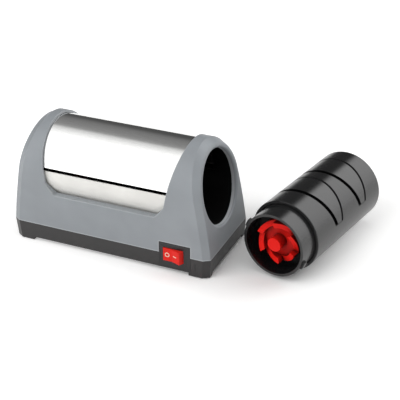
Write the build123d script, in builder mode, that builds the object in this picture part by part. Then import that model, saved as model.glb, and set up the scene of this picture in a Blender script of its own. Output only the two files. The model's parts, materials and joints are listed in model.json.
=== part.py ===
from build123d import *
from math import acos, atan2, cos, degrees, hypot, radians, sin, tan
import os

# Electric knife sharpener: a housing with a turning steel cover, and the
# sharpening cartridge taken out of it and laid on the table beside it.
# Millimetres and degrees. +Z is up, +X runs along the housing, +Y to its back.
# The origin is on the table, under the middle of the two together.

# Housing outside
axis_height = 76.0
arch_wall = 2.0
arch_inset = 1.9
end_lean_at_axis = 8.1
end_lean_at_crown = 18.4
corner_run = 6.7
corner_depth = 4.2
corner_edge_radius = 1.5
mouth_edge_radius = 2.4
shell_wall = 2.2
end_wall = 3.2

# Opening between the cheeks, measured in from the frames and down from the axis
apron_drop = 19.0
cheek_low_drop = 8.0
cheek_left_top_inset = 5.0
cheek_left_low_inset = 11.4
cheek_right_top_inset = 7.0
cheek_right_low_inset = 18.4
apron_left_inset = 20.4
apron_right_inset = 28.0
window_corner_radius = 3.0
window_edge_radius = 0.8
window_rim = 2.0

# Base tray, its feet and its screws
tray_end_taper = 1.5
tray_side_taper = 0.6
tray_floor_bottom = 4.0
tray_floor = 2.4
foot_length = 22.0
foot_width = 11.0
pad_height = 0.8
pad_depth = 1.0
pad_radius = 3.6
pad_inset_x = 7.0
pad_inset_y = 6.5
tray_lip = 2.5
tray_lip_wall = 1.2
vent_width = 3.0
vent_length = 30.0
vent_pitch = 8.0
vent_rows = 5
slit_width = 0.8
slit_height = 9.0
slit_depth = 0.8
slit_offset = 5.0
post_radius = 4.0
post_height = 18.0
post_inset_x = 15.0
screw_radius = 1.5
screw_head_radius = 2.8
screw_head_height = 2.0
screw_length = 26.0
screw_recess = 3.0

# Steel cover and the pieces that carry it
cover_sheet = 0.8
cover_gap = 0.4
cover_front_angle = 10.8
cover_rear_angle = 208.0
cover_hem = 2.2
strip_step = 1.6
strip_top_angle = 5.3
strip_low_angle = -38.0
frame_inset = 29.0
frame_step = 1.6
frame_plate = 2.5
frame_flange = 10.0
frame_flange_height = 3.0
frame_stand = 5.0
frame_stand_radius = 4.5
frame_stand_gap = 2.0
frame_screw_length = 7.0
hub_wall = 1.7
hub_length = 3.9
rim_wall = 2.34
rim_length = 3.6
rim_end_gap = 0.3
cradle_wall = 2.2
cradle_half_angle = 84.0
cradle_rib = 2.0
cradle_rib_inset = 21.0
cradle_rib_angle = 5.3

# Cartridge: shell, slots, spigot and lugs
cartridge_radius = 36.2
cartridge_wall = 2.4
cartridge_edge_radius = 1.8
shoulder_edge_radius = 0.6
bore_clearance = 0.6
cartridge_end_depth = 14.0
slot_width = 3.6
slot_tilt = 15.0
slot_half_spacing = 6.0
slot_reach_angle = 5.0
guide_wall = 1.5
guide_end_gap = 0.5
guide_shift = 0.8
guide_wheel_gap = 2.5
spigot_step = 3.8
spigot_length = 21.8
spigot_wall = 2.6
shoulder_recess = 2.0
web_thickness = 3.0
lug_height = 2.2
lug_length = 4.0
lug_swing = 14.0
lug_leg_swing = 3.0
lug_leg_length = 10.0
lug_setback = 2.8
lug_angle = 37.0
lug_entry_turn = 35.0
lug_play = 1.5
cap_rim_wall = 8.7
cap_recess_depth = 12.0
cap_floor = 3.0
grip_width = 9.0
grip_setback = 1.0

# Cartridge: spindle, wheels and coupling
spindle_radius = 4.0
bush_radius = 6.0
bush_length = 7.0
bush_hub_radius = 9.0
spindle_end_gap = 0.3
wheel_depth = 13.8
wheel_hub_half = 4.5
wheel_rim_half = 5.5
wheel_face_at_hub = 11.3
wheel_face_at_rim = 10.0
spacer_radius = 7.0
front_spacer_length = 20.4
middle_spacer_length = 23.9
rear_spacer_length = 2.9
spring_radius = 6.2
spring_wire = 1.1
spring_pitch = 3.0
coupling_setback = 1.4
coupling_boss_radius = 7.0
coupling_floor = 2.4
coupling_rear_gap = 2.0
crown_gap = 8.4
crown_wall = 5.4
crown_setback = 2.6
crown_rise = 9.0
crown_teeth = 6
crown_turn = 33.0

# Where the cartridge lies
cartridge_distance = 21.4
cartridge_y = 1.4
cartridge_turn = 79.1
cartridge_roll = 13.0

# Motor, its seat and the drive
motor_length = 23.5
motor_rear_gap = 7.2
motor_wall = 2.0
motor_flange = 2.0
motor_hub_radius = 8.0
motor_screw_inset = 2.2
motor_screw_clearance = 2.3
motor_screw_radius = 1.1
motor_screw_head_radius = 1.9
motor_screw_head = 1.6
motor_screw_length = 8.5
motor_screw_count = 3
stator_depth = 9.3
coil_length = 2.5
coil_gap = 1.75
coil_outer_inset = 2.7
coil_inner_inset = 1.1
rotor_gap = 0.4
motor_shaft_radius = 3.0
motor_bush_radius = 6.0
motor_bush_length = 3.5
cup_wall = 2.0
cup_gap = 0.3
socket_length = 17.0
socket_setback = 5.0
drive_gap = 0.8
drive_disc = 3.0
drive_hub_radius = 8.0
drive_hub = 2.0

# Switch in the front, at the right
panel_right_inset = 19.6
panel_width = 33.0
panel_drop = 15.4
panel_rise = 11.6
panel_thickness = 3.0
panel_gap = 0.15
switch_inset = 15.1
switch_drop = 0.8
rocker_radius = 11.1
rocker_height = 13.5
rocker_setback = 3.5
rocker_crest = 4.7
rocker_throw = 20.0
rocker_back = 5.0
rocker_gap = 0.25
rocker_pin_radius = 1.4
rocker_pin_length = 0.7
switch_frame_wall = 2.1
switch_back_wall = 3.15
terminal_width = 4.8
terminal_thickness = 0.8
terminal_length = 7.0
terminal_pitch = 7.0

# Power inlet in the back
inlet_inset = 46.0
inlet_lift = 0.2
inlet_width = 19.0
inlet_tall = 10.6
inlet_wall = 1.7
inlet_flange = 1.5
inlet_flange_height = 2.0
inlet_depth = 20.0
inlet_cover = 0.4
inlet_cavity = 12.0
inlet_pin_radius = 1.2
inlet_pin_length = 9.0
inlet_tail_length = 5.0
inlet_pin_spacing = 8.6

# Shared clearances and cuts
fit_gap = 0.3
running_gap = 0.06
overrun = 5.0

# Radii from the cartridge outwards: bore, cradle, hubs, cover and arch
bore_radius = cartridge_radius + bore_clearance
cradle_outer_radius = bore_radius + cradle_wall
hub_inner_radius = cradle_outer_radius + fit_gap
hub_outer_radius = hub_inner_radius + hub_wall
cover_inner_radius = hub_outer_radius + running_gap + rim_wall
cover_radius = cover_inner_radius + cover_sheet
strip_radius = cover_radius - strip_step
strip_inner_radius = strip_radius - cover_sheet
shell_inner_radius = cover_radius + cover_gap
frame_radius = shell_inner_radius - frame_step
arch_radius = shell_inner_radius + arch_wall
half_depth = arch_radius + arch_inset
housing_depth = 2 * half_depth

# Radii from the cartridge inwards: insert, spigot, wheels and coupling
cartridge_inner_radius = cartridge_radius - cartridge_wall
insert_radius = cartridge_inner_radius - running_gap
cap_recess_radius = insert_radius - cap_rim_wall
wheel_radius = cartridge_inner_radius - wheel_depth
guide_clear_radius = wheel_radius + guide_wheel_gap
spigot_radius = cartridge_radius - spigot_step
spigot_inner_radius = spigot_radius - spigot_wall
crown_radius = spigot_inner_radius - crown_gap
bush_bore = spindle_radius + running_gap

# Radii of the socket cup and the motor in its flange
cup_outer_radius = bore_radius - cup_gap
cup_inner_radius = cup_outer_radius - cup_wall
socket_inner_radius = spigot_radius + fit_gap
motor_flange_radius = cup_inner_radius - cup_gap
motor_screw_place_radius = motor_flange_radius - motor_screw_inset
motor_radius = motor_screw_place_radius - motor_screw_clearance
motor_hole_radius = motor_radius + fit_gap
motor_inner_radius = motor_radius - motor_wall
stator_inner_radius = motor_inner_radius - stator_depth
rotor_radius = stator_inner_radius - rotor_gap

# Places along the cartridge, from its shoulder
web_end = shoulder_recess + web_thickness
front_bush_end = shoulder_recess + bush_length
coarse_middle = front_bush_end + fit_gap + front_spacer_length + wheel_face_at_hub
fine_middle = coarse_middle + 2 * wheel_face_at_hub + middle_spacer_length
rear_bush_start = fine_middle + wheel_face_at_hub + rear_spacer_length + fit_gap
cap_start = rear_bush_start + bush_length
cartridge_length = cap_start + cap_floor + cap_recess_depth
slot_floor = -cartridge_radius * sin(radians(slot_reach_angle))
coupling_front = -spigot_length + coupling_setback
coupling_back = shoulder_recess - coupling_rear_gap
crown_tip = coupling_front + crown_setback
crown_root = crown_tip + crown_rise
lug_front = -spigot_length + lug_setback
lug_back = lug_front + lug_length

# Places along the housing: motor, drive and cartridge set its length
drive_length = drive_gap + drive_hub + drive_disc + spindle_end_gap
seated_length = spigot_length + cartridge_length + cartridge_end_depth
housing_length = (
    2 * end_lean_at_axis + end_wall + motor_rear_gap + motor_length + drive_length
    + seated_length
)
half_length = housing_length / 2
end_half_at_axis = half_length - end_lean_at_axis
end_half_at_crown = half_length - end_lean_at_crown
frame_position = half_length - frame_inset
frame_outer = frame_position + frame_plate
cover_half_length = frame_position - rim_end_gap
rim_inner = cover_half_length - rim_length
strip_half_length = rim_inner - 2 * fit_gap
motor_back = end_half_at_axis - end_wall - motor_rear_gap
motor_front = motor_back - motor_length
stator_half_length = motor_length / 2 - motor_wall - coil_length - coil_gap
seated_shoulder = end_half_at_axis - cartridge_end_depth - cartridge_length
seated_spigot = seated_shoulder - spigot_length
socket_end = seated_shoulder - shoulder_recess - fit_gap - socket_setback
socket_start = socket_end - socket_length

# Heights, and the outline of the opening between the cheeks
crown_height = axis_height + arch_radius
tray_floor_top = tray_floor_bottom + tray_floor
inlet_height = tray_floor_top + inlet_lift + inlet_flange + inlet_tall / 2
parting_height = inlet_height + inlet_tall / 2 + inlet_flange + inlet_cover
tray_wall = shell_wall + fit_gap + tray_lip_wall
stand_top = tray_floor_top + frame_stand
frame_half_width = half_depth - tray_wall - tray_side_taper - fit_gap
apron_height = axis_height - apron_drop
cheek_low_height = axis_height - cheek_low_drop
cheek_left_top = frame_position - cheek_left_top_inset
cheek_left_low = frame_position - cheek_left_low_inset
cheek_right_top = frame_position - cheek_right_top_inset
cheek_right_low = frame_position - cheek_right_low_inset
apron_left_end = frame_position - apron_left_inset
apron_right_end = frame_position - apron_right_inset

# Places of the switch, the frames' screws and the inlet
panel_low = parting_height - panel_drop
panel_top = parting_height + panel_rise
switch_height = parting_height - switch_drop
panel_right = half_length - panel_right_inset
panel_left = panel_right - panel_width
switch_x = panel_left + switch_inset
switch_body_depth = rocker_setback + rocker_radius + rocker_gap + switch_back_wall
switch_body_length = 2 * (rocker_radius + rocker_gap + switch_frame_wall)
switch_body_tall = rocker_height + 2 * (rocker_gap + switch_frame_wall)
rocker_face = rocker_crest * cos(radians(rocker_throw / 2))
rocker_end_angle = 90 + rocker_throw - degrees(acos(rocker_face / rocker_radius))
rocker_out = rocker_radius * sin(radians(rocker_end_angle)) - rocker_setback
frame_screw_place = half_depth - switch_body_depth - frame_stand_radius - frame_stand_gap
inlet_x = inlet_inset - half_length
inlet_corner = inlet_tall / 2 - panel_gap

# The row's origin lies under the middle of housing and cartridge together
turn = radians(cartridge_turn)
roll = radians(cartridge_roll)
cartridge_x = half_length + cartridge_distance + cartridge_radius
reach_x = cartridge_x + cartridge_length * cos(turn) + cartridge_radius * sin(turn)
reach_y = cartridge_y + cartridge_length * sin(turn) + cartridge_radius * cos(turn)
housing_x = (half_length - reach_x) / 2
housing_y = (half_depth + rocker_out - reach_y) / 2


# Planes: the housing seen from above, from the front and in cross-section
floor = Plane(origin=(housing_x, housing_y, 0))
front = Plane(origin=(housing_x, housing_y, 0), x_dir=(1, 0, 0), z_dir=(0, -1, 0))
section = Plane(origin=(housing_x, housing_y, 0), x_dir=(0, 1, 0), z_dir=(1, 0, 0))
bore = Plane(origin=(housing_x, housing_y, axis_height), x_dir=(0, 1, 0), z_dir=(1, 0, 0))

# Planes of the cartridge: across its axis at the shoulder, and along its axis
axis_dir = Vector(cos(turn), sin(turn), 0)
side_dir = Vector(-sin(turn), cos(turn), 0)
across_dir = side_dir * cos(roll) - Vector(0, 0, 1) * sin(roll)
shoulder_point = Vector(housing_x + cartridge_x, housing_y + cartridge_y, cartridge_radius)
shoulder = Plane(origin=shoulder_point, x_dir=across_dir, z_dir=axis_dir)
lengthwise = Plane(origin=shoulder_point, x_dir=axis_dir, z_dir=across_dir * -1)
cartridge_axis = Axis(origin=shoulder_point, direction=axis_dir)

os.makedirs("parts", exist_ok=True)


def arch_lines(half_width, foot, radius):
    """Outline of a cross-section: straight sides that run into a round arch."""
    rise = axis_height - foot
    lean = acos(radius / hypot(half_width, rise)) - atan2(rise, half_width)
    right = (radius * cos(lean), axis_height + radius * sin(lean))
    left = (-right[0], right[1])
    Line((half_width, foot), right)
    ThreePointArc(right, (0, axis_height + radius), left)
    Line(left, (-half_width, foot))
    Line((-half_width, foot), (half_width, foot))


def gable_lines(inset):
    """Outline seen from the front: both ends lean in and bulge a little."""
    foot = half_length - inset
    middle = end_half_at_axis - inset
    top = end_half_at_crown - inset
    peak = crown_height + overrun
    Line((-foot, parting_height), (foot, parting_height))
    ThreePointArc((foot, parting_height), (middle, axis_height), (top, crown_height))
    Polyline((top, crown_height), (top, peak), (-top, peak), (-top, crown_height))
    ThreePointArc((-top, crown_height), (-middle, axis_height), (-foot, parting_height))


def window_sketch(grow):
    """The opening between the cheeks, or the same outline larger all round."""
    peak = crown_height + overrun
    low = apron_height - grow
    with BuildSketch(Plane.XY) as outline:
        with BuildLine():
            Polyline(
                (-cheek_left_top - grow, peak),
                (-cheek_left_top - grow, crown_height),
                (-cheek_left_low - grow, cheek_low_height),
                (-apron_left_end - grow, low),
                (apron_right_end + grow, low),
                (cheek_right_low + grow, cheek_low_height),
                (cheek_right_top + grow, crown_height),
                (cheek_right_top + grow, peak),
                close=True,
            )
        make_face()
        fillet(outline.vertices(), window_corner_radius)
    return outline.sketch


def plan_lines(length, depth):
    """Outline seen from above: a rectangle with its corners cut off."""
    x = length / 2
    y = depth / 2
    inner_x = x - corner_run
    inner_y = y - corner_depth
    Polyline(
        (inner_x, y), (-inner_x, y), (-x, inner_y), (-x, -inner_y),
        (-inner_x, -y), (inner_x, -y), (x, -inner_y), (x, inner_y),
        close=True,
    )


def ring(plane, outer, inner, start, end, mode=Mode.ADD):
    """Ring or disc on the plane's own axis, from one place along it to another."""
    with BuildSketch(plane.offset(start)) as profile:
        Circle(outer)
        if inner:
            Circle(inner, mode=Mode.SUBTRACT)
    extrude(profile.sketch, amount=end - start, mode=mode)


def band(plane, outer, inner, start_angle, end_angle, start, end, mode=Mode.ADD):
    """Part of a ring, between two angles."""
    first = Vector(1, 0).rotate(Axis.Z, start_angle)
    last = Vector(1, 0).rotate(Axis.Z, end_angle)
    with BuildSketch(plane.offset(start)) as profile:
        with BuildLine():
            CenterArc((0, 0), outer, start_angle, end_angle - start_angle)
            Line(last * outer, last * inner)
            CenterArc((0, 0), inner, start_angle, end_angle - start_angle)
            Line(first * inner, first * outer)
        make_face()
    extrude(profile.sketch, amount=end - start, mode=mode)


def crown_teeth_on(plane, base, first_level, last_level):
    """Ring of teeth on a base; the face of each slopes from one level to the other."""
    swing = 360 / crown_teeth
    half_run = crown_radius * sin(radians(swing / 2))
    levels = sorted((base, first_level, last_level))
    teeth = []
    for number in range(crown_teeth):
        start = crown_turn + number * swing
        middle = radians(start + swing / 2)
        outward = plane.x_dir * cos(middle) + plane.y_dir * sin(middle)
        along = plane.y_dir * cos(middle) - plane.x_dir * sin(middle)
        with BuildPart() as tooth:
            with BuildSketch(Plane(origin=plane.origin, x_dir=along, z_dir=outward)):
                with BuildLine():
                    Polyline(
                        (-half_run, base), (-half_run, first_level),
                        (half_run, last_level), (half_run, base), close=True,
                    )
                make_face()
            extrude(amount=crown_radius + overrun)
            band(
                plane, crown_radius, crown_radius - crown_wall, start, start + swing,
                levels[0], levels[-1], mode=Mode.INTERSECT,
            )
        teeth.append(tooth.part)
    return teeth


def on_outside(edge):
    """Tells the edges on the housing's outside from those on its inside."""
    middle = edge.center()
    rise = max(middle.Z - axis_height, 0)
    return hypot(middle.Y - housing_y, rise) > arch_radius - shell_wall / 2


def cut_corners(piece):
    """Cuts the corners between a housing blank's two ends and its long sides."""
    for end_face in (piece.faces().sort_by(Axis.X)[0], piece.faces().sort_by(Axis.X)[-1]):
        corner_edges = end_face.edges().filter_by(Axis.Y, reverse=True)
        chamfer(corner_edges, corner_depth, corner_run, reference=end_face)


def finish(piece, name):
    """Names a finished piece and writes it."""
    piece.part.label = name
    export_step(piece.part, "parts/" + name + ".step")


# Blank and hollow of the upper housing
with BuildPart() as shell_blank:
    with BuildSketch(section):
        with BuildLine():
            arch_lines(half_depth, parting_height, arch_radius)
        make_face()
    extrude(amount=half_length, both=True)
    with BuildSketch(front):
        with BuildLine():
            gable_lines(0)
        make_face()
    extrude(amount=half_depth + overrun, both=True, mode=Mode.INTERSECT)
    cut_corners(shell_blank)
    end_edges = (
        shell_blank.faces().sort_by(Axis.X)[0].edges().filter_by(Axis.Y, reverse=True)
        + shell_blank.faces().sort_by(Axis.X)[-1].edges().filter_by(Axis.Y, reverse=True)
    )
    fillet(end_edges, corner_edge_radius)

with BuildPart() as shell_hollow:
    with BuildSketch(section):
        with BuildLine():
            arch_lines(half_depth - shell_wall, parting_height, shell_inner_radius)
        make_face()
    extrude(amount=half_length, both=True)
    with BuildSketch(front):
        with BuildLine():
            gable_lines(end_wall)
        make_face()
    extrude(amount=half_depth, both=True, mode=Mode.INTERSECT)
    cut_corners(shell_hollow)


# Blank of the base tray, and the space inside it
with BuildPart() as tray_blank:
    for height, shrink in ((parting_height, 0), (pad_height, 2)):
        with BuildSketch(floor.offset(height)):
            with BuildLine():
                plan_lines(
                    housing_length - shrink * tray_end_taper,
                    housing_depth - shrink * tray_side_taper,
                )
            make_face()
    loft()

# Corner places shared by the posts of the housing, the tray and the screws
post_line = half_depth - shell_wall - fit_gap - post_radius
post_places = [
    (x * (half_length - post_inset_x), y * post_line) for x in (-1, 1) for y in (-1, 1)
]
stand_places = [
    (x * (frame_outer + frame_flange / 2), y * frame_screw_place)
    for x in (-1, 1) for y in (-1, 1)
]
pad_places = [
    (x * (half_length - pad_inset_x), y * (half_depth - pad_inset_y))
    for x in (-1, 1) for y in (-1, 1)
]


# Panel outline, shared by the notch that it fills
def panel_sketch(gap):
    """Front view of the switch panel, or of its notch, which is larger by the gap."""
    with Locations(((panel_left + panel_right) / 2, (panel_low + panel_top) / 2)):
        Rectangle(panel_right - panel_left + 2 * gap, panel_top - panel_low + 2 * gap)


# Upper housing: a thin shell with two arched cheeks and a low apron
window_outline = window_sketch(0)
window_rim_outline = window_sketch(window_rim)
with BuildPart() as window_flange:
    with BuildSketch(front):
        add(window_rim_outline)
        add(window_outline, mode=Mode.SUBTRACT)
    extrude(amount=half_depth, both=True)
    with BuildSketch(section):
        with BuildLine():
            arch_lines(half_depth - shell_wall / 2, parting_height, arch_radius - cover_gap)
        make_face()
    extrude(amount=half_length, both=True, mode=Mode.INTERSECT)
    ring(bore, shell_inner_radius, 0, -half_length, half_length, mode=Mode.SUBTRACT)

with BuildPart() as upper_housing:
    add(shell_blank.part)
    add(shell_hollow.part, mode=Mode.SUBTRACT)
    with BuildSketch(front):
        add(window_outline)
    extrude(amount=half_depth + overrun, both=True, mode=Mode.SUBTRACT)
    fillet(upper_housing.edges(Select.LAST).filter_by(on_outside), window_edge_radius)
    add(window_flange.part)
    ring(bore, bore_radius, 0, frame_position, half_length, mode=Mode.SUBTRACT)
    faces_with_holes = upper_housing.faces().filter_by(lambda face: face.inner_wires())
    mouth_rim = faces_with_holes.sort_by(Axis.X)[-1].inner_wires()[0]
    fillet(mouth_rim.edges(), mouth_edge_radius)
    with BuildSketch(floor.offset(parting_height)):
        with Locations(post_places):
            Circle(post_radius)
    extrude(amount=post_height)
    with BuildSketch(floor.offset(parting_height)):
        with Locations(post_places):
            Circle(screw_radius)
    extrude(amount=post_height - shell_wall, mode=Mode.SUBTRACT)
    with BuildSketch(front.offset(half_depth - panel_thickness)):
        panel_sketch(panel_gap)
    extrude(amount=panel_thickness + overrun, mode=Mode.SUBTRACT)
finish(upper_housing, "upper_housing")

# Base tray: floor, walls, corner feet, posts, stands for the frames and vents
with BuildPart() as base_tray:
    add(tray_blank.part)
    with BuildSketch(floor.offset(tray_floor_top)):
        Rectangle(
            housing_length - 2 * (tray_wall + tray_end_taper),
            housing_depth - 2 * (tray_wall + tray_side_taper),
        )
    extrude(amount=parting_height, mode=Mode.SUBTRACT)
    with BuildSketch(floor.offset(pad_height)):
        Rectangle(housing_length, housing_depth)
        with GridLocations(housing_length - foot_length, housing_depth - foot_width, 2, 2):
            Rectangle(foot_length, foot_width, mode=Mode.SUBTRACT)
    extrude(amount=tray_floor_bottom - pad_height, mode=Mode.SUBTRACT)
    with BuildSketch(floor.offset(parting_height)):
        with BuildLine():
            plan_lines(
                housing_length - 2 * (shell_wall + fit_gap + tray_end_taper),
                housing_depth - 2 * (shell_wall + fit_gap),
            )
        make_face()
        Rectangle(
            housing_length - 2 * (tray_wall + tray_end_taper),
            housing_depth - 2 * tray_wall,
            mode=Mode.SUBTRACT,
        )
        with Locations(post_places):
            Circle(post_radius + fit_gap, mode=Mode.SUBTRACT)
        with Locations((switch_x, -half_depth)):
            Rectangle(panel_right - panel_left + 2 * fit_gap, 4 * tray_wall, mode=Mode.SUBTRACT)
    extrude(amount=tray_lip)
    with BuildSketch(floor.offset(tray_floor_bottom)):
        with Locations(post_places):
            Circle(post_radius)
    extrude(amount=parting_height - tray_floor_bottom)
    with BuildSketch(floor.offset(tray_floor_bottom)):
        with Locations(stand_places):
            Circle(frame_stand_radius)
    extrude(amount=tray_floor + frame_stand)
    with BuildSketch(floor.offset(stand_top)):
        with Locations(stand_places):
            Circle(screw_radius)
    extrude(amount=-frame_screw_length + frame_flange_height, mode=Mode.SUBTRACT)
    with BuildSketch(floor):
        with Locations(post_places):
            Circle(screw_radius)
    extrude(amount=parting_height + overrun, mode=Mode.SUBTRACT)
    with BuildSketch(floor.offset(pad_height)):
        with Locations(post_places):
            Circle(screw_head_radius + fit_gap)
    extrude(amount=screw_recess + screw_head_height, mode=Mode.SUBTRACT)
    with BuildSketch(floor.offset(pad_height)):
        with Locations(pad_places):
            Circle(pad_radius)
    extrude(amount=pad_depth, mode=Mode.SUBTRACT)
    with BuildSketch(floor.offset(tray_floor_bottom)):
        with GridLocations(vent_pitch, vent_length + vent_pitch, vent_rows, 2):
            SlotOverall(vent_length, vent_width, rotation=90)
    extrude(amount=tray_floor, mode=Mode.SUBTRACT)
    with BuildSketch(front.offset(half_depth - panel_thickness)):
        panel_sketch(panel_gap)
    extrude(amount=panel_thickness + overrun, mode=Mode.SUBTRACT)
    with BuildSketch(front.offset(half_depth - tray_wall - overrun)):
        with Locations((switch_x, switch_height)):
            Rectangle(switch_body_length + 2 * fit_gap, switch_body_tall + 2 * fit_gap)
    extrude(amount=tray_wall + 2 * overrun, mode=Mode.SUBTRACT)
    with BuildSketch(front.offset(half_depth - slit_depth)):
        with Locations((panel_right + slit_offset, (pad_height + parting_height) / 2)):
            Rectangle(slit_width, slit_height)
    extrude(amount=overrun, mode=Mode.SUBTRACT)
    with BuildSketch(front.offset(-half_depth - overrun)):
        with Locations((inlet_x, inlet_height)):
            RectangleRounded(
                inlet_width + 2 * panel_gap, inlet_tall + 2 * panel_gap, inlet_corner
            )
    extrude(amount=tray_wall + 2 * overrun, mode=Mode.SUBTRACT)
finish(base_tray, "base_tray")

with BuildPart() as foot_pads:
    with BuildSketch(floor):
        with Locations(pad_places):
            Circle(pad_radius - panel_gap)
    extrude(amount=pad_height + pad_depth)
finish(foot_pads, "foot_pads")

with BuildPart() as case_screws:
    with BuildSketch(floor.offset(pad_height + screw_recess)):
        with Locations(post_places):
            Circle(screw_head_radius)
    extrude(amount=screw_head_height)
    with BuildSketch(floor.offset(pad_height + screw_recess + screw_head_height)):
        with Locations(post_places):
            Circle(screw_radius - running_gap)
    extrude(amount=screw_length)
finish(case_screws, "case_screws")


# Two frames stand across the tray and carry the cradle and the cover
def frame_piece(side):
    """Plate across the housing with a round hub and a foot that is screwed down."""
    inner = section.offset(side * frame_position)
    with BuildPart() as piece:
        with BuildSketch(inner):
            with BuildLine():
                arch_lines(frame_half_width, stand_top, frame_radius)
            make_face()
        extrude(amount=side * frame_plate)
        hub_start = side * frame_position
        ring(bore, hub_outer_radius, hub_inner_radius, hub_start, hub_start - side * hub_length)
        with BuildSketch(floor.offset(stand_top)):
            with Locations((side * (frame_outer + frame_flange / 2), 0)):
                Rectangle(frame_flange, 2 * frame_screw_place + frame_flange)
        extrude(amount=frame_flange_height)
        with BuildSketch(floor.offset(stand_top)):
            with Locations([p for p in stand_places if p[0] * side > 0]):
                Circle(screw_radius)
        extrude(amount=frame_flange_height, mode=Mode.SUBTRACT)
    return piece


left_plate = frame_piece(-1)
with BuildPart() as left_frame:
    add(left_plate.part)
    ring(bore, motor_hole_radius, 0, -frame_outer, -frame_position, mode=Mode.SUBTRACT)
    with BuildSketch(bore.offset(-frame_outer)):
        with PolarLocations(motor_screw_place_radius, motor_screw_count, start_angle=90):
            Circle(motor_screw_radius)
    extrude(amount=frame_plate, mode=Mode.SUBTRACT)
finish(left_frame, "left_frame")

with BuildPart() as mouth_tube:
    ring(bore, cradle_outer_radius, bore_radius, frame_position, half_length)
    with BuildSketch(front):
        with BuildLine():
            gable_lines(end_wall + fit_gap)
        make_face()
    extrude(amount=half_depth, both=True, mode=Mode.INTERSECT)

right_plate = frame_piece(1)
with BuildPart() as right_frame:
    add(right_plate.part)
    add(mouth_tube.part)
    ring(bore, bore_radius, 0, frame_position, frame_outer, mode=Mode.SUBTRACT)
    with BuildSketch(front.offset(half_depth - switch_body_depth - switch_frame_wall)):
        with Locations((switch_x, switch_height)):
            Rectangle(switch_body_length + 4 * fit_gap, switch_body_tall + 4 * fit_gap)
    extrude(amount=half_depth, mode=Mode.SUBTRACT)
finish(right_frame, "right_frame")

with BuildPart() as frame_screws:
    with BuildSketch(floor.offset(stand_top + frame_flange_height)):
        with Locations(stand_places):
            Circle(screw_head_radius)
    extrude(amount=screw_head_height)
    with BuildSketch(floor.offset(stand_top + frame_flange_height)):
        with Locations(stand_places):
            Circle(screw_radius - running_gap)
    extrude(amount=-frame_screw_length + panel_gap)
finish(frame_screws, "frame_screws")

# Cradle: a trough that the cartridge slides along, with ribs for the lower strip
with BuildPart() as cradle:
    band(
        bore, cradle_outer_radius, bore_radius,
        -90 - cradle_half_angle, -90 + cradle_half_angle, -frame_position, frame_position,
    )
    rib_place = frame_position - cradle_rib_inset
    for place in (-rib_place, 0, rib_place):
        band(
            bore, strip_inner_radius, cradle_outer_radius - cradle_wall / 2,
            180 + cradle_rib_angle, 180 - strip_low_angle,
            place - cradle_rib / 2, place + cradle_rib / 2,
        )
finish(cradle, "cradle")

with BuildPart() as lower_strip:
    band(
        bore, strip_radius, strip_inner_radius,
        180 - strip_top_angle, 180 - strip_low_angle, -strip_half_length, strip_half_length,
    )
finish(lower_strip, "lower_strip")

# Steel cover: rolled sheet with a turned-in front edge, on a rim at each end
with BuildPart() as steel_cover:
    band(
        bore, cover_radius, cover_inner_radius,
        180 - cover_rear_angle, 180 - cover_front_angle, -cover_half_length, cover_half_length,
    )
    hem_angle = degrees(cover_sheet / cover_radius)
    band(
        bore, cover_inner_radius + cover_sheet / 2, cover_inner_radius - cover_hem,
        180 - cover_front_angle - hem_angle, 180 - cover_front_angle,
        -strip_half_length, strip_half_length,
    )
finish(steel_cover, "steel_cover")

for side, name in ((-1, "cover_rim_left"), (1, "cover_rim_right")):
    with BuildPart() as cover_rim:
        ring(
            bore, cover_inner_radius, hub_outer_radius + running_gap,
            side * rim_inner, side * cover_half_length,
        )
    finish(cover_rim, name)

# Motor: can with its flange, end cap, windings, armature, shaft and bushes
motor_middle = -(motor_back + motor_front) / 2
with BuildPart() as motor_can:
    ring(bore, motor_radius, motor_inner_radius, motor_wall - motor_back, -motor_front)
    ring(bore, motor_radius, motor_bush_radius, -motor_front - motor_wall, -motor_front)
    ring(
        bore, motor_hub_radius, motor_bush_radius,
        -motor_front - motor_bush_length, -motor_front,
    )
    ring(
        bore, motor_flange_radius, motor_inner_radius,
        -frame_position, motor_flange - frame_position,
    )
    with BuildSketch(bore.offset(-frame_position)):
        with PolarLocations(motor_screw_place_radius, motor_screw_count, start_angle=90):
            Circle(motor_screw_radius)
    extrude(amount=motor_flange, mode=Mode.SUBTRACT)
finish(motor_can, "motor_can")

with BuildPart() as motor_end_cap:
    ring(bore, motor_radius, motor_bush_radius, -motor_back, motor_wall - motor_back)
    ring(
        bore, motor_hub_radius, motor_bush_radius, -motor_back, motor_bush_length - motor_back,
    )
finish(motor_end_cap, "motor_end_cap")

with BuildPart() as motor_bushes:
    for start in (-motor_front - motor_bush_length, -motor_back):
        ring(
            bore, motor_bush_radius, motor_shaft_radius + running_gap,
            start, start + motor_bush_length,
        )
finish(motor_bushes, "motor_bushes")

with BuildPart() as stator_core:
    ring(
        bore, motor_inner_radius - running_gap, stator_inner_radius,
        motor_middle - stator_half_length, motor_middle + stator_half_length,
    )
finish(stator_core, "stator_core")

with BuildPart() as stator_coils:
    for way in (-1, 1):
        start = motor_middle + way * stator_half_length
        ring(
            bore, motor_inner_radius - coil_outer_inset, stator_inner_radius + coil_inner_inset,
            start, start + way * coil_length,
        )
finish(stator_coils, "stator_coils")

with BuildPart() as rotor_core:
    ring(
        bore, rotor_radius, motor_shaft_radius + running_gap,
        motor_middle - stator_half_length, motor_middle + stator_half_length,
    )
finish(rotor_core, "rotor_core")

drive_back = seated_spigot - spindle_end_gap
with BuildPart() as motor_shaft:
    ring(bore, motor_shaft_radius, 0, spindle_end_gap - motor_back, drive_back - drive_disc / 2)
finish(motor_shaft, "motor_shaft")

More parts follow.
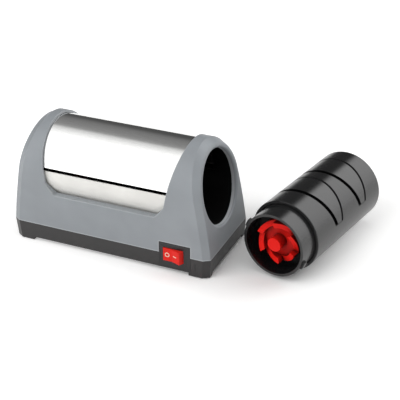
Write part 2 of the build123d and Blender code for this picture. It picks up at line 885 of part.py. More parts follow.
# Dog: a disc with a crown of teeth that fits the crown of the cartridge's coupling
dog_low = seated_shoulder + crown_tip - fit_gap
dog_teeth = crown_teeth_on(bore, drive_back, dog_low, dog_low + crown_rise)
with BuildPart() as drive_dog:
    ring(bore, crown_radius, 0, drive_back - drive_disc, drive_back)
    ring(bore, drive_hub_radius, 0, drive_back - drive_disc - drive_hub, drive_back)
    ring(
        bore, motor_shaft_radius + running_gap, 0,
        drive_back - drive_disc - drive_hub, drive_back - drive_disc / 2, mode=Mode.SUBTRACT,
    )
    add(dog_teeth)
finish(drive_dog, "drive_dog")

with BuildPart() as motor_screws:
    screw_seat = 2 * motor_flange - frame_position
    with BuildSketch(bore.offset(screw_seat)):
        with PolarLocations(motor_screw_place_radius, motor_screw_count, start_angle=90):
            Circle(motor_screw_head_radius)
    extrude(amount=motor_screw_head)
    with BuildSketch(bore.offset(screw_seat)):
        with PolarLocations(motor_screw_place_radius, motor_screw_count, start_angle=90):
            Circle(motor_screw_radius - running_gap)
    extrude(amount=-motor_screw_length)
finish(motor_screws, "motor_screws")

# Socket cup: takes the cartridge's spigot and holds it by its two lugs
with BuildPart() as socket_cup:
    ring(bore, cup_outer_radius, motor_hole_radius, screw_seat - motor_flange, screw_seat)
    ring(bore, cup_outer_radius, cup_inner_radius, screw_seat, socket_start)
    ring(bore, cup_outer_radius, socket_inner_radius, socket_start, socket_end)
    with BuildSketch(bore.offset(screw_seat - motor_flange)):
        with PolarLocations(motor_screw_place_radius, motor_screw_count, start_angle=90):
            Circle(motor_screw_radius)
    extrude(amount=motor_flange, mode=Mode.SUBTRACT)
    for angle, reach in ((lug_angle, lug_length), (lug_angle + 180, lug_leg_length)):
        seat_back = seated_shoulder + lug_front - fit_gap
        seat_front = seated_shoulder + lug_front + reach + fit_gap
        low = angle - lug_swing / 2 - lug_play
        high = angle + lug_swing / 2 + lug_play
        band(
            bore, spigot_radius + lug_height + fit_gap, spigot_radius,
            low, high + lug_entry_turn, seat_back, seat_front, mode=Mode.SUBTRACT,
        )
        band(
            bore, spigot_radius + lug_height + fit_gap, spigot_radius,
            low + lug_entry_turn, high + lug_entry_turn, seat_back, socket_end,
            mode=Mode.SUBTRACT,
        )
finish(socket_cup, "socket_cup")

# Switch: panel, body with its well, rocker and terminals
well = Plane(
    origin=(housing_x + switch_x, housing_y - half_depth + rocker_setback, switch_height),
    x_dir=(1, 0, 0), z_dir=(0, 0, -1),
)
with BuildPart() as switch_panel:
    add(shell_blank.part)
    add(tray_blank.part)
    with BuildSketch(front.offset(half_depth - panel_thickness)):
        panel_sketch(0)
    extrude(amount=panel_thickness + overrun, mode=Mode.INTERSECT)
    with BuildSketch(front):
        with Locations((switch_x, switch_height)):
            Rectangle(switch_body_length + 2 * panel_gap, switch_body_tall + 2 * panel_gap)
    extrude(amount=half_depth + overrun, mode=Mode.SUBTRACT)
finish(switch_panel, "switch_panel")

with BuildPart() as switch_body:
    with BuildSketch(front.offset(half_depth - panel_gap)):
        with Locations((switch_x, switch_height)):
            Rectangle(switch_body_length, switch_body_tall)
    extrude(amount=panel_gap - switch_body_depth)
    with BuildSketch(well):
        Circle(rocker_radius + rocker_gap)
    extrude(amount=rocker_height / 2 + rocker_gap, both=True, mode=Mode.SUBTRACT)
    with BuildSketch(well):
        Circle(rocker_pin_radius + running_gap)
    extrude(
        amount=rocker_height / 2 + rocker_pin_length + panel_gap, both=True, mode=Mode.SUBTRACT,
    )
finish(switch_body, "switch_body")

with BuildPart() as rocker:
    crest = (
        -rocker_crest * sin(radians(rocker_throw / 2)),
        rocker_crest * cos(radians(rocker_throw / 2)),
    )
    raised_edge = crest[1] + (rocker_radius - crest[0]) * tan(radians(rocker_throw))
    with BuildSketch(well):
        Circle(rocker_radius)
        with BuildLine():
            Polyline(
                (-rocker_radius, crest[1]), crest,
                (rocker_radius, raised_edge),
                (rocker_radius, -rocker_back), (-rocker_radius, -rocker_back),
                close=True,
            )
        make_face(mode=Mode.INTERSECT)
    extrude(amount=rocker_height / 2, both=True)
    with BuildSketch(well):
        Circle(rocker_pin_radius)
    extrude(amount=rocker_height / 2 + rocker_pin_length, both=True)
finish(rocker, "rocker")

with BuildPart() as switch_terminals:
    with BuildSketch(front.offset(half_depth - switch_body_depth)):
        with Locations((switch_x, switch_height)):
            with GridLocations(terminal_pitch, terminal_pitch, 3, 1):
                Rectangle(terminal_thickness, terminal_width)
    extrude(amount=-terminal_length)
finish(switch_terminals, "switch_terminals")

# Power inlet: a socket body and two pins
rear_wall = half_depth - tray_wall - tray_side_taper
with BuildPart() as inlet_body:
    with BuildSketch(front.offset(panel_gap - half_depth)):
        with Locations((inlet_x, inlet_height)):
            RectangleRounded(inlet_width, inlet_tall, inlet_corner - panel_gap)
    extrude(amount=inlet_depth)
    with BuildSketch(front.offset(-rear_wall)):
        with Locations((inlet_x, inlet_height)):
            RectangleRounded(
                inlet_width + 2 * inlet_flange, inlet_tall + 2 * inlet_flange, inlet_corner,
            )
    extrude(amount=inlet_flange_height)
    with BuildSketch(front.offset(-half_depth)):
        with Locations((inlet_x, inlet_height)):
            RectangleRounded(
                inlet_width - 2 * inlet_wall, inlet_tall - 2 * inlet_wall,
                inlet_corner - inlet_wall - panel_gap,
            )
    extrude(amount=inlet_cavity, mode=Mode.SUBTRACT)
    with BuildSketch(front.offset(-half_depth)):
        with Locations((inlet_x, inlet_height)):
            with GridLocations(inlet_pin_spacing, 1, 2, 1):
                Circle(inlet_pin_radius)
    extrude(amount=inlet_depth + overrun, mode=Mode.SUBTRACT)
finish(inlet_body, "inlet_body")

with BuildPart() as inlet_pins:
    with BuildSketch(front.offset(inlet_cavity - inlet_pin_length - half_depth)):
        with Locations((inlet_x, inlet_height)):
            with GridLocations(inlet_pin_spacing, 1, 2, 1):
                Circle(inlet_pin_radius)
    extrude(amount=inlet_depth - inlet_cavity + inlet_pin_length + inlet_tail_length)
finish(inlet_pins, "inlet_pins")

# Cartridge body: tube with two windows, each filled by a guide between two slots
# The guides stand a little to the rear, so the front slot of each pair is the wider one
stages = (("coarse", coarse_middle), ("fine", fine_middle))
slot_half_run = slot_width / 2 / cos(radians(slot_tilt))


def slot_edge(height, side):
    """Distance from a stage's middle to the edge of a slot, at a height."""
    return slot_half_spacing + height * tan(radians(slot_tilt)) + side * slot_half_run


def stage_lines(middle, side, inset):
    """Trapezoid between the two slots of a stage, to their near or far edges."""
    low = slot_floor
    high = cartridge_radius + overrun
    Polyline(
        (middle - slot_edge(low, side) + inset, low),
        (middle + slot_edge(low, side) - inset, low),
        (middle + slot_edge(high, side) - inset, high),
        (middle - slot_edge(high, side) + inset, high),
        close=True,
    )


with BuildPart() as cartridge_shell:
    ring(shoulder, cartridge_radius, cartridge_inner_radius, 0, cartridge_length)
    round_edges = cartridge_shell.edges().filter_by(GeomType.CIRCLE).sort_by(SortBy.RADIUS)[-2:]
    fillet(round_edges.sort_by(cartridge_axis)[-1], cartridge_edge_radius)
    round_edges = cartridge_shell.edges().filter_by(GeomType.CIRCLE).sort_by(SortBy.RADIUS)
    fillet(round_edges.sort_by(cartridge_axis)[1], shoulder_edge_radius)
    for stage, middle in stages:
        with BuildSketch(lengthwise):
            with BuildLine():
                stage_lines(middle, 1, 0)
            make_face()
        extrude(amount=cartridge_radius, both=True, mode=Mode.SUBTRACT)
finish(cartridge_shell, "cartridge_shell")

for stage, stage_middle in stages:
    middle = stage_middle + guide_shift
    with BuildPart() as guide_arch:
        with BuildSketch(lengthwise):
            with BuildLine():
                stage_lines(middle, -1, 0)
            make_face()
            with Locations((middle, slot_floor)):
                Rectangle(4 * cartridge_radius, 2 * guide_end_gap, mode=Mode.SUBTRACT)
        extrude(amount=cartridge_radius, both=True)
        with BuildSketch(shoulder):
            Circle(cartridge_radius)
            Circle(insert_radius - guide_wall, mode=Mode.SUBTRACT)
        extrude(amount=cartridge_length, mode=Mode.INTERSECT)
    with BuildPart() as guide_sides:
        with BuildSketch(lengthwise):
            with BuildLine():
                stage_lines(middle, -1, 0)
            make_face()
            with BuildLine():
                stage_lines(middle, -1, guide_wall)
            make_face(mode=Mode.SUBTRACT)
        extrude(amount=cartridge_radius, both=True)
        with BuildSketch(shoulder):
            Circle(insert_radius)
            Circle(guide_clear_radius, mode=Mode.SUBTRACT)
        extrude(amount=cartridge_length, mode=Mode.INTERSECT)
    with BuildPart() as guide:
        add(guide_arch.part)
        add(guide_sides.part)
        half_run = slot_edge(slot_floor, -1)
        inner_radius = insert_radius - guide_wall
        ring(shoulder, insert_radius, inner_radius, middle - half_run, middle + half_run)
    finish(guide, stage + "_guide")

# Spigot collar: closes the shoulder, carries the front bush and the two lugs
with BuildPart() as spigot_collar:
    ring(shoulder, spigot_radius, spigot_inner_radius, -spigot_length, web_end)
    ring(shoulder, insert_radius, bush_radius, shoulder_recess, web_end)
    ring(shoulder, bush_hub_radius, bush_radius, shoulder_recess, front_bush_end)
    lug_outer = spigot_radius + lug_height
    lug_root = spigot_radius - spigot_wall / 2
    for angle in (lug_angle, lug_angle + 180):
        low = angle - lug_swing / 2
        high = angle + lug_swing / 2
        band(shoulder, lug_outer, lug_root, low, high, lug_front, lug_back)
    leg = lug_angle + 180 + lug_swing / 2
    leg_end = lug_front + lug_leg_length
    band(shoulder, lug_outer, lug_root, leg - lug_leg_swing, leg, lug_front, leg_end)
finish(spigot_collar, "spigot_collar")

with BuildPart() as end_cap:
    ring(shoulder, insert_radius, 0, cap_start, cartridge_length)
    ring(
        shoulder, cap_recess_radius, 0, cap_start + cap_floor, cartridge_length,
        mode=Mode.SUBTRACT,
    )
    ring(shoulder, bush_hub_radius, bush_radius, rear_bush_start, cap_start)
    with BuildSketch(shoulder.offset(cap_start)):
        Rectangle(grip_width, 2 * cap_recess_radius)
    extrude(amount=cartridge_length - cap_start - grip_setback)
finish(end_cap, "end_cap")

for name, start in (("front_bush", shoulder_recess), ("rear_bush", rear_bush_start)):
    with BuildPart() as bush:
        ring(shoulder, bush_radius, bush_bore, start, start + bush_length)
    finish(bush, name)

# Spindle with its wheels, their flat-wire springs and spacers
boss_floor = coupling_front + coupling_floor
with BuildPart() as spindle_shaft:
    ring(
        shoulder, spindle_radius, 0, boss_floor + spindle_end_gap, cap_start - spindle_end_gap,
    )
finish(spindle_shaft, "spindle_shaft")

for stage, middle in stages:
    for way, side_name in ((-1, "left"), (1, "right")):
        with BuildPart() as wheel:
            with BuildSketch(lengthwise):
                with BuildLine():
                    Polyline(
                        (middle + way * wheel_hub_half, bush_bore),
                        (middle + way * wheel_face_at_hub, bush_bore),
                        (middle + way * wheel_face_at_rim, wheel_radius),
                        (middle + way * wheel_rim_half, wheel_radius),
                        close=True,
                    )
                make_face()
            revolve(axis=cartridge_axis)
        finish(wheel, stage + "_wheel_" + side_name)

with BuildPart() as shaft_spacers:
    spacer_ends = (
        (front_bush_end + fit_gap, coarse_middle - wheel_face_at_hub),
        (coarse_middle + wheel_face_at_hub, fine_middle - wheel_face_at_hub),
        (fine_middle + wheel_face_at_hub, rear_bush_start - fit_gap),
    )
    for start, end in spacer_ends:
        ring(shoulder, spacer_radius, bush_bore, start, end)
finish(shaft_spacers, "shaft_spacers")

with BuildPart() as wheel_springs:
    for stage, middle in stages:
        spring_foot = shoulder_point + axis_dir * (middle - wheel_hub_half + spring_wire)
        with BuildLine() as spring_path:
            Helix(
                pitch=spring_pitch, height=2 * (wheel_hub_half - spring_wire),
                radius=spring_radius, center=spring_foot, direction=axis_dir,
            )
        wire_plane = Plane(
            origin=spring_path.line @ 0, z_dir=spring_path.line % 0, x_dir=axis_dir,
        )
        with BuildSketch(wire_plane) as wire_section:
            Rectangle(spring_wire, spring_wire)
        sweep(wire_section.sketch, path=spring_path.line, is_frenet=True)
finish(wheel_springs, "wheel_springs")

# Coupling: a boss inside a crown of sloping teeth that the motor's dog turns
coupling_teeth = crown_teeth_on(shoulder, coupling_back, crown_tip, crown_root)
with BuildPart() as drive_coupling:
    ring(shoulder, crown_radius, crown_radius - crown_wall, crown_root, coupling_back)
    ring(shoulder, crown_radius, 0, crown_root, crown_root + coupling_floor)
    ring(shoulder, coupling_boss_radius, 0, coupling_front, coupling_back)
    add(coupling_teeth)
    ring(
        shoulder, bush_bore, 0, boss_floor, coupling_back + overrun, mode=Mode.SUBTRACT,
    )
finish(drive_coupling, "drive_coupling")
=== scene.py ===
import json
from math import cos, sin, tau

import bpy
from mathutils import Matrix, Vector
from mathutils.bvhtree import BVHTree


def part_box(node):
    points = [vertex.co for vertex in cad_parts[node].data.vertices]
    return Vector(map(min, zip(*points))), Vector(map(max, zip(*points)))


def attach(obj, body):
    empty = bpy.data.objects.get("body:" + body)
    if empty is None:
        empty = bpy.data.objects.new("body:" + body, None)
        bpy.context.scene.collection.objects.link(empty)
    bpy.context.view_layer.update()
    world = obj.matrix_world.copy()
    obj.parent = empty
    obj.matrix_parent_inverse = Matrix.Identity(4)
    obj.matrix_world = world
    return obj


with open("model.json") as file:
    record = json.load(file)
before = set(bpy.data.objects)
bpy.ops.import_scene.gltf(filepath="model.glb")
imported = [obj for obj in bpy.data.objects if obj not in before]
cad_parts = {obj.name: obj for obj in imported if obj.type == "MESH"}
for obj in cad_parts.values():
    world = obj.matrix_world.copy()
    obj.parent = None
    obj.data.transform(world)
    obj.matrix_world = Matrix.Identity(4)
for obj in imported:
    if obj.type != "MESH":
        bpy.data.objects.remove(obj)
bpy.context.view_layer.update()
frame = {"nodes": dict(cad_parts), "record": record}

nodes = frame["nodes"]
scene = bpy.context.scene


class Tree:
    """Shader nodes of a material or of the world."""

    def __init__(self, owner):
        owner.use_nodes = True
        self.nodes = owner.node_tree.nodes
        self.links = owner.node_tree.links
        self.nodes.clear()

    def feed(self, node, inputs):
        """Give a node's inputs values, or link them to other nodes' sockets."""
        for name, value in inputs.items():
            if isinstance(value, bpy.types.NodeSocket):
                self.links.new(value, node.inputs[name])
            else:
                node.inputs[name].default_value = value

    def node(self, kind, inputs=None, **settings):
        """New node, with settings of its own and what its inputs take."""
        node = self.nodes.new(kind)
        for name, value in settings.items():
            setattr(node, name, value)
        self.feed(node, inputs or {})
        return node

    def math(self, operation, first, second):
        return self.node("ShaderNodeMath", {0: first, 1: second}, operation=operation).outputs[0]

    def span(self, source, source_range, result_range=(0.0, 1.0), smooth=False):
        """Number brought from one range to another and held at the ends."""
        return self.node(
            "ShaderNodeMapRange",
            {
                "Value": source,
                "From Min": source_range[0], "From Max": source_range[1],
                "To Min": result_range[0], "To Max": result_range[1],
            },
            interpolation_type="SMOOTHSTEP" if smooth else "LINEAR",
        ).outputs["Result"]

    def ramp(self, source, stops):
        """Colour for a number from 0 to 1. Each stop is a place with a colour or one grey."""
        node = self.node("ShaderNodeValToRGB", {"Fac": source})
        elements = node.color_ramp.elements
        while len(elements) < len(stops):
            elements.new(0.5)
        for element, (place, color) in zip(elements, stops):
            element.position = place
            element.color = (color, color, color, 1.0) if isinstance(color, float) else (*color, 1.0)
        return node.outputs["Color"]


class Paint(Tree):
    """One procedural material."""

    def __init__(self, name):
        self.material = bpy.data.materials.new(name)
        super().__init__(self.material)
        self.shader = self.node("ShaderNodeBsdfPrincipled")
        self.node("ShaderNodeOutputMaterial", {0: self.shader.outputs[0]})
        self.coords = self.node("ShaderNodeTexCoord").outputs["Object"]

    def stretched(self, scale):
        return self.node("ShaderNodeMapping", {"Vector": self.coords, "Scale": scale}).outputs[0]

    def noise(self, scale, detail=3.0, rough=0.6, vector=None):
        return self.node("ShaderNodeTexNoise", {
            "Vector": vector or self.coords, "Scale": scale, "Detail": detail, "Roughness": rough,
        }).outputs["Fac"]

    def bump(self, source, depth, strength):
        return self.node(
            "ShaderNodeBump", {"Height": source, "Distance": depth, "Strength": strength},
        ).outputs[0]

    def blend(self, share, first, color):
        return self.node(
            "ShaderNodeMix", {"Factor": share, "A": first, "B": (*color, 1.0)}, data_type="RGBA",
        ).outputs["Result"]

    def openness(self, distance, inside=False):
        """1 on open surfaces, less in recesses, or with inside less on outer edges."""
        return self.node(
            "ShaderNodeAmbientOcclusion", {"Distance": distance}, samples=16, inside=inside,
        ).outputs["AO"]


# Noise in the materials: its useful range, and its scales for shades, gloss and moulding grain
noise_range = (0.3, 0.7)
shade_scale = 28.0
gloss_scale = 160.0
grain_scale = 2600.0
shade_spread = 0.06

# Reach of the painted shade in recesses and of the painted highlight on outer edges, and the
# openness that they run over
recess_reach = 0.014
recess_open, recess_clear = 0.3, 0.85
highlight_reach = 0.0012
highlight_range = (0.5, 0.95)

# Inner corners: the openness that the duller surface runs over, and its roughness
corner_range = (0.5, 0.93)
corner_rough = 0.85


def shades(color, spread):
    """Stops from a little darker to a little lighter than a colour."""
    dark = tuple(c * (1 - spread) for c in color)
    light = tuple(min(1.0, c * (1 + spread)) for c in color)
    return list(zip(noise_range, (dark, light)))


def moulded(
    name, color, rough, depth=0.00002, level=0.5, uneven=0.045, recess_shade=None, edge=None, corner=None,
):
    """Moulded plastic: fine spark-eroded grain, slightly uneven gloss.

    The colour given for recesses is a painted shade that darkens them, the one given for outer edges
    a painted highlight that lightens them; corner is the reach of the duller surface in inner
    corners.
    """
    paint = Paint(name)
    # Painted shade: recesses take a darker colour where little open space is found round them
    if recess_shade:
        stops = [(recess_open, recess_shade), (recess_clear, color)]
        plain = paint.ramp(paint.openness(recess_reach), stops)
    else:
        plain = paint.ramp(paint.noise(shade_scale, 2.0, 0.5), shades(color, shade_spread))
    # Painted highlight: outer edges take a lighter colour, as if light caught them
    if edge:
        share = paint.span(paint.openness(highlight_reach, inside=True), highlight_range, (1.0, 0.0))
        plain = paint.blend(share, plain, edge)
    gloss = paint.span(paint.noise(gloss_scale), noise_range, (rough - uneven, rough + uneven))
    if corner:
        dull = paint.span(paint.openness(corner), corner_range, (corner_rough, rough))
        gloss = paint.math("MAXIMUM", gloss, dull)
    paint.feed(paint.shader, {
        "Base Color": plain,
        "Roughness": gloss,
        "Normal": paint.bump(paint.noise(grain_scale, 2.0), depth, 0.7),
        "Specular IOR Level": level,
    })
    return paint.material


def metal(name, color, rough, scale, depth=0.00001, spread=0.08, vary=0.06):
    """Worked metal: fine marks along one direction."""
    paint = Paint(name)
    marks = paint.noise(1.0, 4.0, vector=paint.stretched(scale))
    paint.feed(paint.shader, {
        "Base Color": paint.ramp(marks, shades(color, spread)),
        "Roughness": paint.span(marks, noise_range, (rough - vary, rough + vary)),
        "Normal": paint.bump(marks, depth, 0.6),
        "Metallic": 1.0,
    })
    return paint.material


# Materials of the pieces
paints = {
    # The housing's plastic has a painted highlight on its outer edges
    "housing_grey": moulded("housing_grey", (0.27, 0.289, 0.308), 0.42, edge=(0.5, 0.52, 0.54)),
    "tray_grey": moulded("tray_grey", (0.022, 0.0205, 0.0205), 0.4),
    "panel_grey": moulded("panel_grey", (0.013, 0.013, 0.0135), 0.38),
    "rocker_red": moulded("rocker_red", (0.74, 0.022, 0.015), 0.34, depth=0.000006, level=0.12),
    "strip_plastic": moulded("strip_plastic", (0.84, 0.83, 0.795), 0.4),
    "inner_plastic": moulded("inner_plastic", (0.0015, 0.0015, 0.0016), 0.45, level=0.12),
    "cartridge_grey": moulded(
        "cartridge_grey", (0.0065, 0.0065, 0.0069), 0.25,
        depth=0.000004, level=0.62, uneven=0.015, corner=0.009,
    ),
    "guide_grey": moulded(
        "guide_grey", (0.007, 0.007, 0.0073), 0.24, depth=0.000004, level=0.66, uneven=0.015,
    ),
    # Painted shade: the coupling turns dark red in its recesses
    "coupling_red": moulded(
        "coupling_red", (0.8, 0.012, 0.008), 0.42,
        depth=0.00001, level=0.12, recess_shade=(0.15, 0.006, 0.004),
    ),
    "drive_red": moulded("drive_red", (0.05, 0.004, 0.003), 0.5, level=0.2),
    "foot_rubber": moulded("foot_rubber", (0.02, 0.02, 0.02), 0.75),
    "cover_steel": metal(
        "cover_steel", (0.86, 0.86, 0.85), 0.08, (160.0, 900.0, 900.0),
        depth=0.000008, spread=0.05, vary=0.03,
    ),
    "shaft_steel": metal("shaft_steel", (0.62, 0.62, 0.63), 0.25, (900.0, 900.0, 900.0)),
    "spring_steel": metal("spring_steel", (0.5, 0.5, 0.52), 0.3, (900.0, 900.0, 900.0)),
    "screw_steel": metal("screw_steel", (0.5, 0.5, 0.52), 0.32, (900.0, 900.0, 900.0)),
    "motor_zinc": metal("motor_zinc", (0.55, 0.56, 0.57), 0.36, (200.0, 1500.0, 1500.0)),
    "core_iron": metal("core_iron", (0.2, 0.2, 0.21), 0.42, (2400.0, 60.0, 60.0)),
    "coil_copper": metal("coil_copper", (0.6, 0.22, 0.08), 0.35, (60.0, 1800.0, 1800.0)),
    "bush_bronze": metal("bush_bronze", (0.62, 0.4, 0.18), 0.42, (1200.0, 1200.0, 1200.0)),
    "contact_metal": metal("contact_metal", (0.7, 0.56, 0.3), 0.25, (800.0, 800.0, 800.0)),
    "wheel_grit": metal(
        "wheel_grit", (0.3, 0.28, 0.25), 0.6, (2200.0, 2200.0, 2200.0), depth=0.00006,
    ),
}
for row in frame["record"]["subparts"]:
    mesh = nodes[row["node"]].data
    for index in range(len(mesh.materials)):
        mesh.materials[index] = paints[row["material_slot"]]


def add_mesh(name, points, faces, material):
    """Object of the scene from points and faces."""
    mesh = bpy.data.meshes.new(name)
    mesh.from_pydata(points, [], faces)
    mesh.materials.append(material)
    made = bpy.data.objects.new(name, mesh)
    scene.collection.objects.link(made)
    return made


# Printed marks on the rocker: a ring for off and a dash for on
mark_paint = moulded("mark_cream", (0.88, 0.78, 0.62), 0.5, depth=0.000004)
mark_proud = 0.00006
mark_lead = 0.01
off_across, on_across = 0.24, 0.62
ring_radius, ring_hole = 0.0024, 0.0017
ring_steps = 48
dash_reach, dash_rise = 0.0022, 0.0003
rocker_low, rocker_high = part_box("rocker")
rocker_mesh = nodes["rocker"].data
rocker_faces = BVHTree.FromPolygons(
    [vertex.co for vertex in rocker_mesh.vertices],
    [list(polygon.vertices) for polygon in rocker_mesh.polygons],
)


def printed_mark(name, across, outer, inner):
    """Thin mark on the rocker's front, a share across it: outline points, with a hole or none."""
    spot = Vector((
        rocker_low.x + across * (rocker_high.x - rocker_low.x), rocker_low.y - mark_lead,
        (rocker_low.z + rocker_high.z) / 2,
    ))
    middle, normal = rocker_faces.ray_cast(spot, Vector((0, 1, 0)))[:2]
    if normal.y > 0:
        normal = -normal
    side = Vector((0, 0, 1)).cross(normal).normalized()
    rise = normal.cross(side)
    points = [
        tuple(middle + side * -u + rise * v + normal * level)
        for outline in (outer, inner) if outline
        for level in (-mark_proud, mark_proud)
        for u, v in outline
    ]
    count = len(outer)
    faces = []
    for step in range(count):
        after = (step + 1) % count
        faces.append((step, after, count + after, count + step))
        if inner:
            base = 2 * count
            faces.append((base + after, base + step, base + count + step, base + count + after))
            faces.append((count + step, count + after, base + count + after, base + count + step))
    if not inner:
        faces.append(tuple(range(count, 2 * count)))
    piece = add_mesh(name, points, faces, mark_paint)
    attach(piece, "rocker")


def circle(radius, steps):
    """Points round a circle."""
    return [
        (radius * cos(tau * step / steps), radius * sin(tau * step / steps))
        for step in range(steps)
    ]


printed_mark("mark_off", off_across, circle(ring_radius, ring_steps), circle(ring_hole, ring_steps))
printed_mark(
    "mark_on", on_across,
    [
        (-dash_reach, -dash_rise), (dash_reach, -dash_rise),
        (dash_reach, dash_rise), (-dash_reach, dash_rise),
    ],
    (),
)

# Middle of the housing, seen from above
tray_low, tray_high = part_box("base_tray")
middle_x = (tray_low.x + tray_high.x) / 2
middle_y = (tray_low.y + tray_high.y) / 2

# The mouth's inner edge, a narrow band of the housing's plastic at the start of the bore
bore_height = 0.076
bore_radius = 0.0368
bore_tolerance = 0.00008
mouth_side = middle_x + 0.05
edge_depth = 0.0014
edge_lap = 0.0013
edge_outer_gap = 0.00002
edge_inner_gap = 0.00008
edge_steps = 144

# Where the bore starts, at its top and at its foot
near_end = 0.99 * bore_radius
rim_top, rim_foot = 1.0, 1.0
for vertex in nodes["upper_housing"].data.vertices:
    point = nodes["upper_housing"].matrix_world @ vertex.co
    across, rise = point.y - middle_y, point.z - bore_height
    off_bore = abs((across ** 2 + rise ** 2) ** 0.5 - bore_radius)
    if point.x > mouth_side and off_bore < bore_tolerance:
        if rise > near_end:
            rim_top = min(rim_top, point.x)
        elif rise < -near_end:
            rim_foot = min(rim_foot, point.x)

edge_loops = (
    (edge_outer_gap, -edge_lap), (edge_outer_gap, edge_depth),
    (edge_inner_gap, edge_depth), (edge_inner_gap, -edge_lap),
)
points = []
for gap, back in edge_loops:
    for across, rise in circle(bore_radius - gap, edge_steps):
        share = (rise / bore_radius + 1) / 2
        points.append((
            rim_foot * (1 - share) + rim_top * share - back, middle_y + across, bore_height + rise,
        ))
faces = []
for loop in range(len(edge_loops)):
    here, there = loop * edge_steps, (loop + 1) % len(edge_loops) * edge_steps
    for step in range(edge_steps):
        after = (step + 1) % edge_steps
        faces.append((here + step, here + after, there + after, there + step))
mouth_edge = add_mesh("mouth_edge", points, faces, paints["housing_grey"])
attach(mouth_edge, "housing")

# Floor: matt, and glowing for the camera, reflections and glass so that it shows white; the glow is
# weaker close to the object, a painted shadow there
floor_reach = 6.0
floor_drop = 0.0002
floor_color = (0.93, 0.927, 0.922)
shadow_middle = (0.075, -0.03, 0.0)
lift_reach = 2.0
# Glow over the distance from that middle: low near the object, a painted shadow, and white far off
lift_stops = [(0.02, 0.04), (0.06, 0.27), (0.1, 0.33), (0.15, 0.36), (0.3, 0.4), (0.7, 0.85)]

floor_paint = bpy.data.materials.new("floor")
ground = Tree(floor_paint)
matte = ground.node("ShaderNodeBsdfDiffuse", {"Color": (*floor_color, 1.0)})
rays = ground.node("ShaderNodeLightPath").outputs
seen = ground.math("MAXIMUM", rays["Is Camera Ray"], rays["Is Glossy Ray"])
seen = ground.math("MAXIMUM", seen, rays["Is Transmission Ray"])
place = ground.node("ShaderNodeTexCoord").outputs["Object"]
offset = ground.node("ShaderNodeVectorMath", {0: place, 1: shadow_middle}, operation="SUBTRACT")
distance = ground.node("ShaderNodeVectorMath", {0: offset.outputs[0]}, operation="LENGTH")
share = ground.math("DIVIDE", distance.outputs["Value"], lift_reach)
lift = ground.math("MULTIPLY", seen, ground.ramp(share, lift_stops))
glow = ground.node("ShaderNodeEmission", {"Strength": lift})
both = ground.node("ShaderNodeAddShader", {0: matte.outputs[0], 1: glow.outputs[0]})
ground.node("ShaderNodeOutputMaterial", {0: both.outputs[0]})

floor = add_mesh(
    "floor",
    [
        (-floor_reach, -floor_reach, 0), (floor_reach, -floor_reach, 0),
        (floor_reach, floor_reach, 0), (-floor_reach, floor_reach, 0),
    ],
    [(0, 1, 2, 3)],
    floor_paint,
)
floor.location = (0.0, 0.0, -floor_drop)

# Surroundings: white for the camera, plain for matt surfaces, a studio for reflections
plain_light = 0.2
camera_light = 1.0

# The wide front light: its aim, the part of the dot product that its ramp covers, its ramp,
# the range that x is held to, and how it falls off to either side
front_aim = (-0.6, -0.93, 0.37)
front_range = (-0.76, 1.24)
front_stops = [
    (0.0, 0.35), (0.05, 0.2), (0.09, 0.075), (0.17, 0.09), (0.21, 0.135), (0.265, 0.19),
    (0.38, 0.24), (0.446, 0.27), (0.505, 0.35), (0.555, 0.70), (0.634, 0.98), (0.70, 1.2),
    (0.75, 1.3),
]
held_low, held_high = -0.53, -0.26
right_range, right_dimming = (-0.27, -0.05), (1.0, 0.5)
left_range, left_dimming = (-0.64, -0.53), (0.45, 1.0)

# The tall light behind on the right: where it starts in x and y, where it is cut down in y,
# and its strength over z
tall_start_x = (-0.09, 0.09)
tall_start_y = (0.3, 0.5)
tall_cut_y, tall_cut = (0.8, 0.9), (1.0, 0.2)
tall_range_z, tall_strength = (-0.3, 0.6), (1.4, 2.7)

world = bpy.data.worlds.new("studio")
scene.world = world
sky = Tree(world)
direction = sky.node("ShaderNodeTexCoord").outputs["Generated"]
split = sky.node("ShaderNodeSeparateXYZ", {0: direction}).outputs
held = sky.math("MINIMUM", sky.math("MAXIMUM", split["X"], held_low), held_high)
aimed = sky.node("ShaderNodeCombineXYZ", {0: held, 1: split["Y"], 2: split["Z"]})
toward = sky.node(
    "ShaderNodeVectorMath", {0: aimed.outputs[0], 1: front_aim}, operation="DOT_PRODUCT",
)
front = sky.ramp(sky.span(toward.outputs["Value"], front_range), front_stops)
dimmed = sky.math(
    "MULTIPLY",
    sky.span(split["X"], right_range, right_dimming, smooth=True),
    sky.span(split["X"], left_range, left_dimming, smooth=True),
)
wide = sky.math("MULTIPLY", front, dimmed)
tall = sky.span(split["X"], tall_start_x, smooth=True)
for source, source_range, result_range in (
    ("Y", tall_start_y, (0.0, 1.0)), ("Z", tall_range_z, tall_strength), ("Y", tall_cut_y, tall_cut),
):
    factor = sky.span(split[source], source_range, result_range, smooth=True)
    tall = sky.math("MULTIPLY", tall, factor)
studio = sky.math("MAXIMUM", wide, tall)


def background(strength):
    """White background of one strength, or of one that nodes work out."""
    return sky.node(
        "ShaderNodeBackground", {"Color": (1.0, 1.0, 1.0, 1.0), "Strength": strength},
    ).outputs[0]


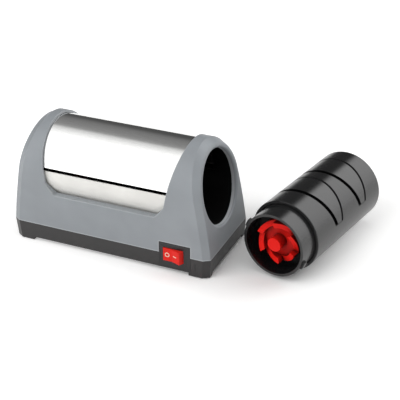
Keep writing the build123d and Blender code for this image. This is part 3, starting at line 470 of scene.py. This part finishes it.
rays = sky.node("ShaderNodeLightPath").outputs
lighting = sky.node(
    "ShaderNodeMixShader",
    {0: rays["Is Glossy Ray"], 1: background(plain_light), 2: background(studio)},
)
surroundings = sky.node(
    "ShaderNodeMixShader",
    {0: rays["Is Camera Ray"], 1: lighting.outputs[0], 2: background(camera_light)},
)
sky.node("ShaderNodeOutputWorld", {0: surroundings.outputs[0]})

# Soft lights: place, where each points, width, height and power
softboxes = {
    "key": ((-0.6, -1.1, 0.95), (0.0, 0.0, 0.05), 1.3, 1.3, 15.5),
    "top": ((0.2, -0.2, 1.5), (0.0, 0.0, 0.0), 1.6, 1.2, 7.5),
    "side": ((1.1, 0.7, 0.9), (0.05, 0.0, 0.05), 0.9, 0.9, 9.5),
}
for name, (place, aim, width, height, power) in softboxes.items():
    light = bpy.data.lights.new(name, "AREA")
    light.shape = "RECTANGLE"
    light.size = width
    light.size_y = height
    light.energy = power
    lamp = bpy.data.objects.new(name, light)
    lamp.location = place
    lamp.rotation_euler = (Vector(aim) - Vector(place)).to_track_quat("-Z", "Y").to_euler()
    lamp.visible_glossy = False
    scene.collection.objects.link(lamp)

# The camera stands where the photo was taken: its place from the housing's middle, its turns
# in radians, and its focal length in pixels of the photo's width
camera_x, camera_y, camera_z = 0.478242, -0.871267, 0.59834
yaw, pitch, roll = 0.431, 0.514, -0.019
focal_pixels = 1134.391
photo_pixels = 400
sensor_width = 36.0

place = Vector((camera_x + middle_x, camera_y + middle_y, camera_z))
forward = Vector((-sin(yaw) * cos(pitch), cos(yaw) * cos(pitch), -sin(pitch)))
right = forward.cross(Vector((0, 0, 1))).normalized()
up = right.cross(forward)
right, up = (
    right * cos(roll) + up * sin(roll),
    up * cos(roll) - right * sin(roll),
)
lens = bpy.data.cameras.new("camera")
lens.sensor_width = sensor_width
lens.lens = focal_pixels / photo_pixels * sensor_width
camera = bpy.data.objects.new("camera", lens)
turn = Matrix((right, up, -forward)).transposed().to_4x4()
camera.matrix_world = Matrix.Translation(place) @ turn
scene.collection.objects.link(camera)
scene.camera = camera
scene.view_settings.view_transform = "Standard"
